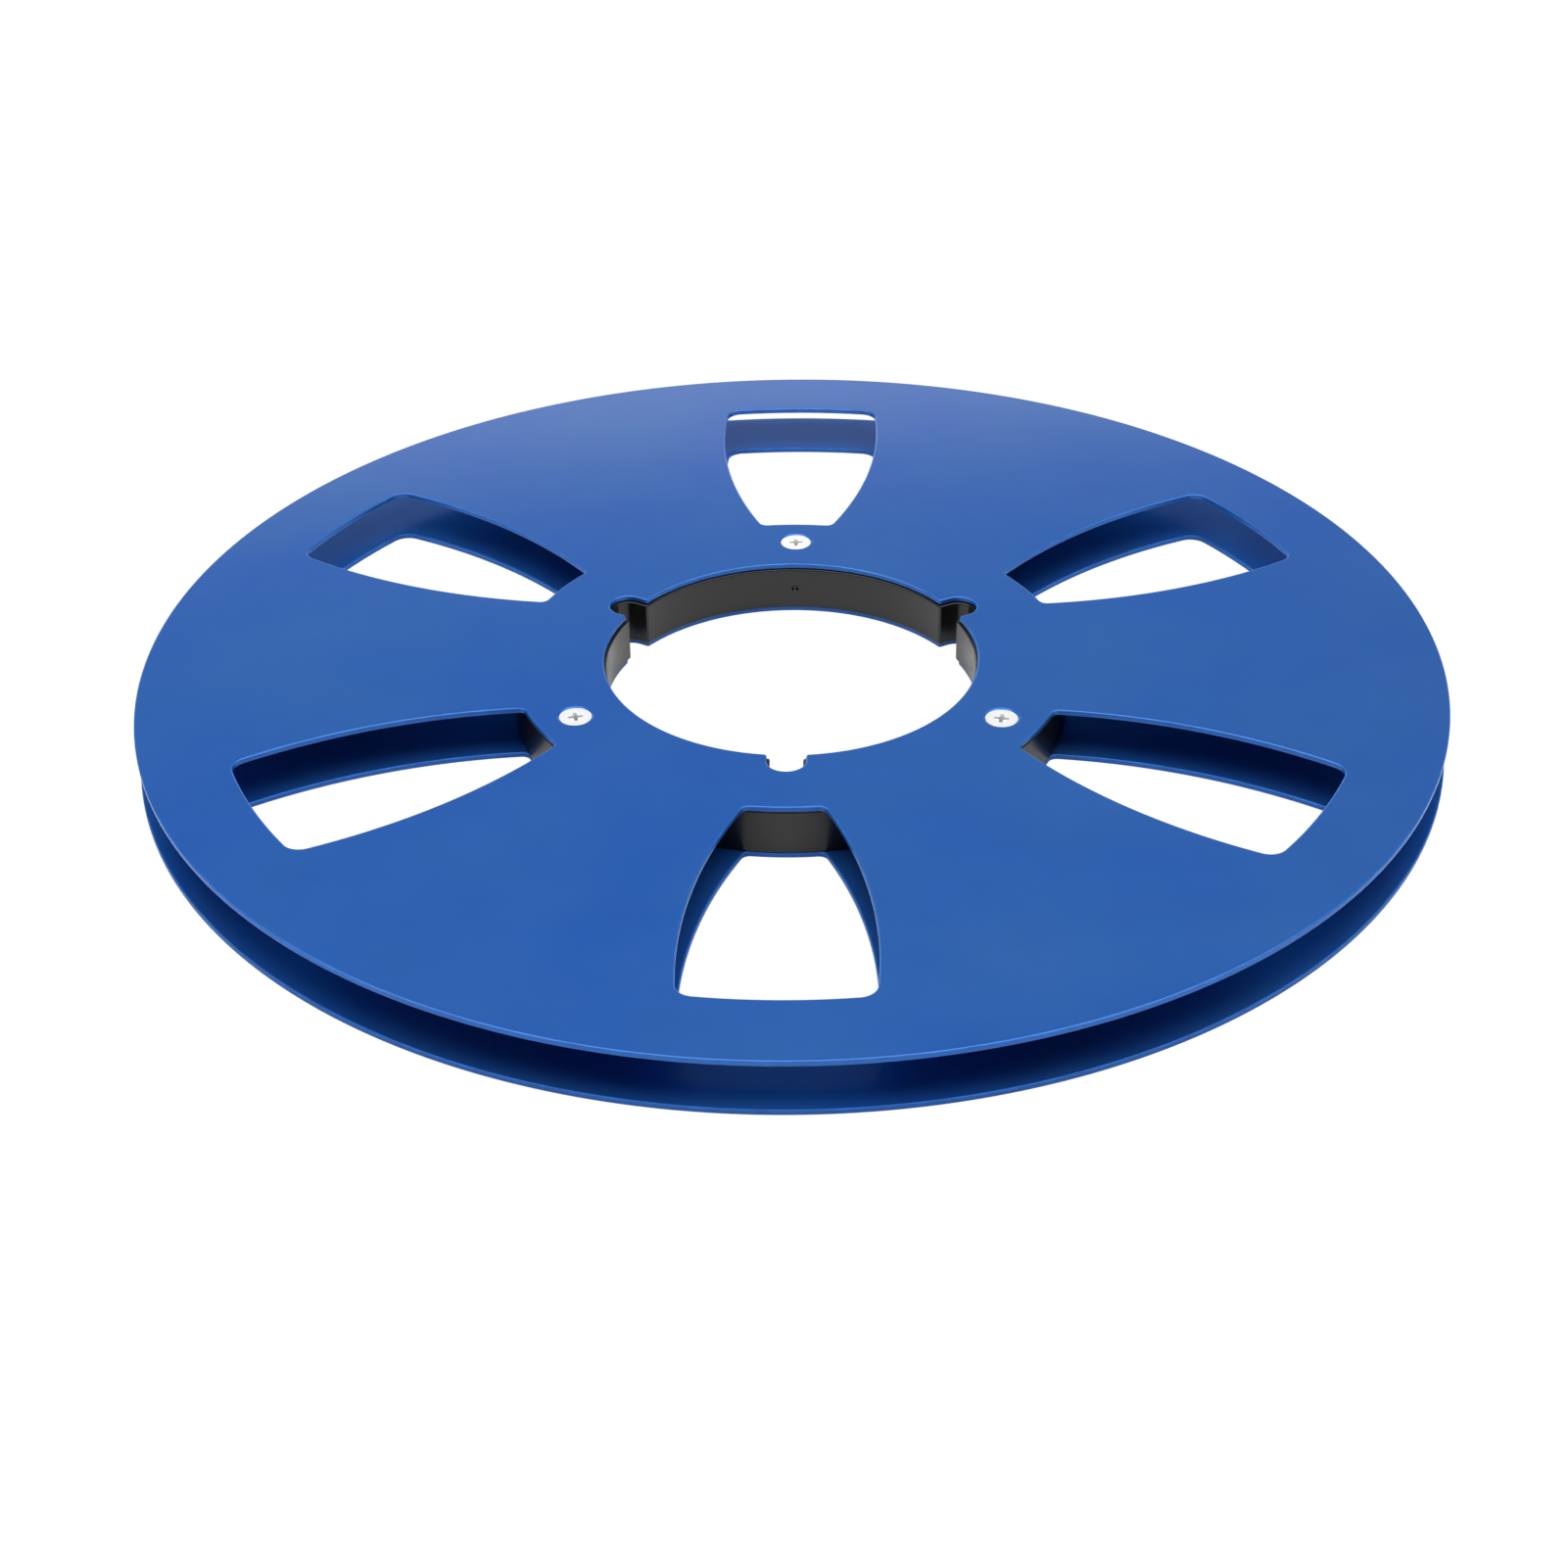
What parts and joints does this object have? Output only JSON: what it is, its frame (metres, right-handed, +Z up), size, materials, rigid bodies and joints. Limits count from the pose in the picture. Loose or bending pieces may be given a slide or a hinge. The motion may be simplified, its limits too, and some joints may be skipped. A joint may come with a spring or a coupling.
{
  "type": "open-reel tape reel",
  "caption": "Empty open reel for magnetic tape: windowed round metal flanges screwed to a ring hub with a large slotted centre hole.",
  "frame": {"origin": "centre of the bottom face, on the reel's axis", "axes": "+Z up along the reel's axis; one drive slot of the hub lies on -Y and one screw of each flange on +Y"},
  "size_m": [0.2666, 0.2666, 0.0117],
  "materials": {
    "flange_blue": "blue anodised sheet, satin",
    "hub_black": "black moulded plastic, satin",
    "screw_steel": "bright plated countersunk screw"
  },
  "bodies": {
    "root": {"bottom_flange": "flange_blue", "top_flange": "flange_blue", "hub": "hub_black", "top_screw_1": "screw_steel", "bottom_screw_1": "screw_steel", "top_screw_2": "screw_steel", "bottom_screw_2": "screw_steel", "top_screw_3": "screw_steel", "bottom_screw_3": "screw_steel"}
  },
  "joints": []
}
